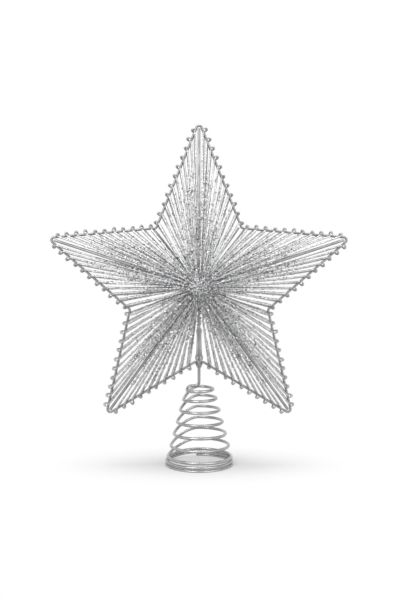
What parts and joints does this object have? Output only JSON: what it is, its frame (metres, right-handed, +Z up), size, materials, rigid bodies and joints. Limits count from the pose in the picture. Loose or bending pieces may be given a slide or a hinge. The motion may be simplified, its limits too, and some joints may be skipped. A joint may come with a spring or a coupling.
{
  "type": "tree topper star",
  "caption": "Open wire star for the top of a tree: a bent rim strung with glittered wire strands from front and back hubs, on a springy neck and a conical coil spring that slips over a twig.",
  "frame": {"origin": "middle of the coil spring's foot, on the surface it stands on", "axes": "+Z up to the star's top point, +X to the star's right as seen from the front, the front faces -Y"},
  "size_m": [0.2216, 0.0518, 0.2534],
  "materials": {
    "spring_steel": "bright nickel-plated wire",
    "silver_wire": "smooth silver-grey wire",
    "glitter_wire": "thin silver wire with glitter grains",
    "glitter_hub": "silver glitter crust"
  },
  "bodies": {
    "base": {"coil_spring": "spring_steel"},
    "neck": {"neck_foot": "spring_steel"},
    "neck_middle": {"neck_middle": "spring_steel"},
    "star": {"stem_wire": "glitter_wire", "solder_cone": "silver_wire", "rim_wire": "silver_wire", "front_ridge_wire_top": "silver_wire", "back_ridge_wire_top": "silver_wire", "front_ridge_wire_right": "silver_wire", "back_ridge_wire_right": "silver_wire", "front_ridge_wire_lower_right": "silver_wire", "back_ridge_wire_lower_right": "silver_wire", "front_ridge_wire_lower_left": "silver_wire", "back_ridge_wire_lower_left": "silver_wire", "front_ridge_wire_left": "silver_wire", "back_ridge_wire_left": "silver_wire", "front_strands_top_left": "glitter_wire", "back_strands_top_left": "glitter_wire", "front_strands_top_right": "glitter_wire", "back_strands_top_right": "glitter_wire", "front_strands_right_upper": "glitter_wire", "back_strands_right_upper": "glitter_wire", "front_strands_right_lower": "glitter_wire", "back_strands_right_lower": "glitter_wire", "front_strands_lower_right_outer": "glitter_wire", "back_strands_lower_right_outer": "glitter_wire", "front_strands_lower_right_inner": "glitter_wire", "back_strands_lower_right_inner": "glitter_wire", "front_strands_lower_left_inner": "glitter_wire", "back_strands_lower_left_inner": "glitter_wire", "front_strands_lower_left_outer": "glitter_wire", "back_strands_lower_left_outer": "glitter_wire", "front_strands_left_lower": "glitter_wire", "back_strands_left_lower": "glitter_wire", "front_strands_left_upper": "glitter_wire", "back_strands_left_upper": "glitter_wire", "rim_loops_top_left": "glitter_wire", "rim_loops_top_right": "glitter_wire", "rim_loops_right_upper": "glitter_wire", "rim_loops_right_lower": "glitter_wire", "rim_loops_lower_right_outer": "glitter_wire", "rim_loops_lower_right_inner": "glitter_wire", "rim_loops_lower_left_inner": "glitter_wire", "rim_loops_lower_left_outer": "glitter_wire", "rim_loops_left_lower": "glitter_wire", "rim_loops_left_upper": "glitter_wire", "front_hub": "glitter_hub", "back_hub": "glitter_hub", "hub_post": "glitter_hub"}
  },
  "joints": [
    {"name": "spring_press", "type": "slide", "parent": "base", "child": "neck", "axis": [0, 0, 1], "range_m": [-0.015, 0.008], "stiffness_N_per_m": 440, "springref_m": 0.00284, "deforming": ["coil_spring"]},
    {"name": "star_sway", "type": "hinge", "parent": "neck", "child": "neck_middle", "pos_m": [0, 0, 0.06565], "axis": [0, 1, 0], "range_deg": [-12, 12], "stiffness_Nm_per_rad": 0.18},
    {"name": "star_nod", "type": "hinge", "parent": "neck_middle", "child": "star", "pos_m": [0, 0, 0.06905], "axis": [1, 0, 0], "range_deg": [-12, 12], "stiffness_Nm_per_rad": 0.18}
  ]
}
